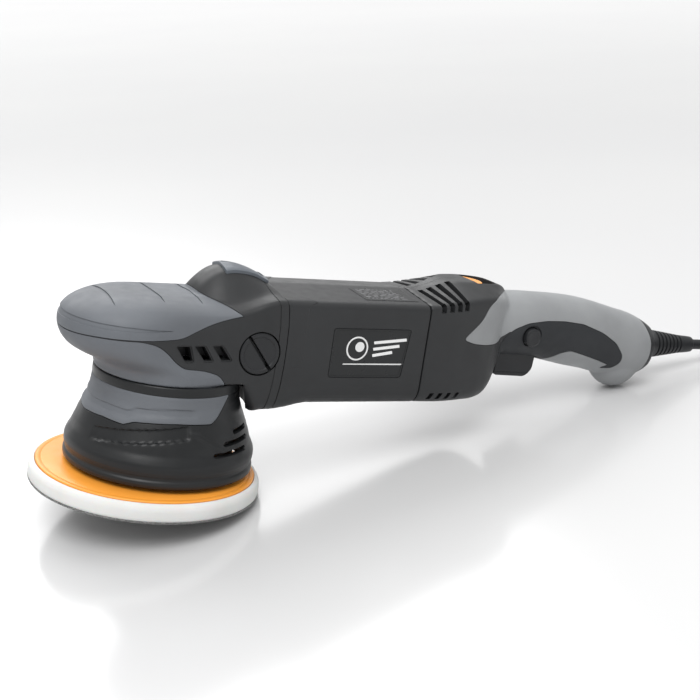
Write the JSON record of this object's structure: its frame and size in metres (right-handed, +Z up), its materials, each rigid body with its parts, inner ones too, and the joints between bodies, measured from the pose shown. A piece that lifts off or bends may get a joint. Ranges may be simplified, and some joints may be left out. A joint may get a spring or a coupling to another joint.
{
  "type": "dual action polisher",
  "caption": "Long-throw random orbital polisher: round pad under a shrouded head, barrel motor body, bow handle with trigger, mains cord in a coil.",
  "frame": {"origin": "centre of the tool's footprint on the surface that it rests on, midway between the pad's front edge and the tip of the cord boot", "axes": "+X from the pad towards the handle and cord, +Z up; the tool leans back 12.16 degrees, resting on the pad's rear edge and the knob under the handle"},
  "size_m": [0.7049, 0.2027, 0.1559],
  "materials": {
    "black_plastic": "fine moulded texture, satin",
    "shroud_plastic": "satin moulded plastic",
    "grip_rubber": "soft matte overmould",
    "handle_rubber": "soft matte overmould",
    "insert_rubber": "soft matte overmould",
    "badge_plastic": "satin",
    "control_plastic": "satin",
    "label_film": "printed film",
    "orange_plastic": "satin",
    "white_foam": "closed-cell foam skin",
    "hook_fabric": "hook tape",
    "cord_rubber": "matte rubber sheath",
    "bright_steel": "ground",
    "bearing_steel": "polished rings",
    "screw_steel": "zinc plated",
    "gear_steel": "hardened",
    "counterweight_metal": "zinc casting",
    "cast_alloy": "die cast",
    "lamination_steel": "stacked sheets",
    "winding_copper": "enamelled wire",
    "inner_plastic": "moulded",
    "carbon": "pressed carbon",
    "pin_metal": "plated"
  },
  "bodies": {
    "housing": {"gear_housing": "black_plastic", "head_grip": "grip_rubber", "neck_grip": "grip_rubber", "side_plug_left": "control_plastic", "side_plug_right": "control_plastic", "top_badge": "badge_plastic", "bearing_plate": "cast_alloy", "bearing_plate_screws": "screw_steel", "shroud": "shroud_plastic", "shroud_inlay": "grip_rubber", "motor_housing": "black_plastic", "side_label_left": "label_film", "side_label_right": "label_film", "rating_label": "label_film", "stator_core": "lamination_steel", "field_coils": "winding_copper", "brush_carrier": "inner_plastic", "carbon_brushes": "carbon", "cover_left": "black_plastic", "cover_right": "black_plastic", "cover_screws": "screw_steel", "handle_grip": "handle_rubber", "handle_insert": "insert_rubber", "trigger_pin": "bright_steel", "switch_body": "inner_plastic", "control_board": "inner_plastic", "cord_boot": "cord_rubber", "inner_lead": "cord_rubber", "cord_clamp": "inner_plastic", "motor_bearing_outer_rings": "bearing_steel", "spindle_bearing_outer_rings": "bearing_steel", "cord_tube": "cord_rubber", "cord_coil": "cord_rubber", "cord_tail": "cord_rubber", "plug_body": "cord_rubber", "plug_pins": "pin_metal"},
    "spindle": {"spindle": "bright_steel", "counterweight": "counterweight_metal", "crown_gear": "gear_steel", "spindle_bearing_inner_rings": "bearing_steel", "plate_bearing_outer_rings": "bearing_steel"},
    "plate": {"hook_face": "hook_fabric", "foam_pad": "white_foam", "backing_plate": "orange_plastic", "plate_stud": "bright_steel", "plate_spindle": "bright_steel", "plate_bearing_inner_rings": "bearing_steel"},
    "armature": {"motor_shaft": "bright_steel", "pinion": "bright_steel", "armature_core": "lamination_steel", "armature_windings": "winding_copper", "commutator": "winding_copper", "cooling_fan": "inner_plastic", "motor_bearing_inner_rings": "bearing_steel"},
    "trigger": {"trigger": "control_plastic"},
    "lock_button": {"lock_button": "control_plastic"},
    "speed_dial": {"speed_dial": "orange_plastic"}
  },
  "joints": [
    {"name": "spindle_spin", "type": "hinge", "parent": "housing", "child": "spindle", "pos_m": [-0.18894, 0, 0.01422], "axis": [0.2106, 0, 0.9776], "continuous": true},
    {"name": "plate_spin", "type": "hinge", "parent": "spindle", "child": "plate", "pos_m": [-0.19627, 0, 0.0158], "axis": [0.2106, 0, 0.9776], "continuous": true},
    {"name": "armature_spin", "type": "hinge", "parent": "housing", "child": "armature", "pos_m": [-0.16809, 0, 0.111], "axis": [0.9776, 0, -0.2106], "continuous": true},
    {"name": "trigger_press", "type": "hinge", "parent": "housing", "child": "trigger", "pos_m": [0.06868, 0, 0.05384], "axis": [0, -1, 0], "range_deg": [0, 6], "stiffness_Nm_per_rad": 0.8, "springref_deg": -2.86},
    {"name": "lock_button_press", "type": "slide", "parent": "housing", "child": "lock_button", "axis": [0, 1, 0], "range_m": [0, 0.0022], "stiffness_N_per_m": 300, "springref_m": -0.001},
    {"name": "speed_dial_turn", "type": "hinge", "parent": "housing", "child": "speed_dial", "pos_m": [0.05115, 0, 0.10774], "axis": [0.2106, 0, 0.9776], "range_deg": [0, 270]}
  ],
  "couplings": [
    {"joint": "armature_spin", "follows": "spindle_spin", "ratio": 3.8889}
  ]
}
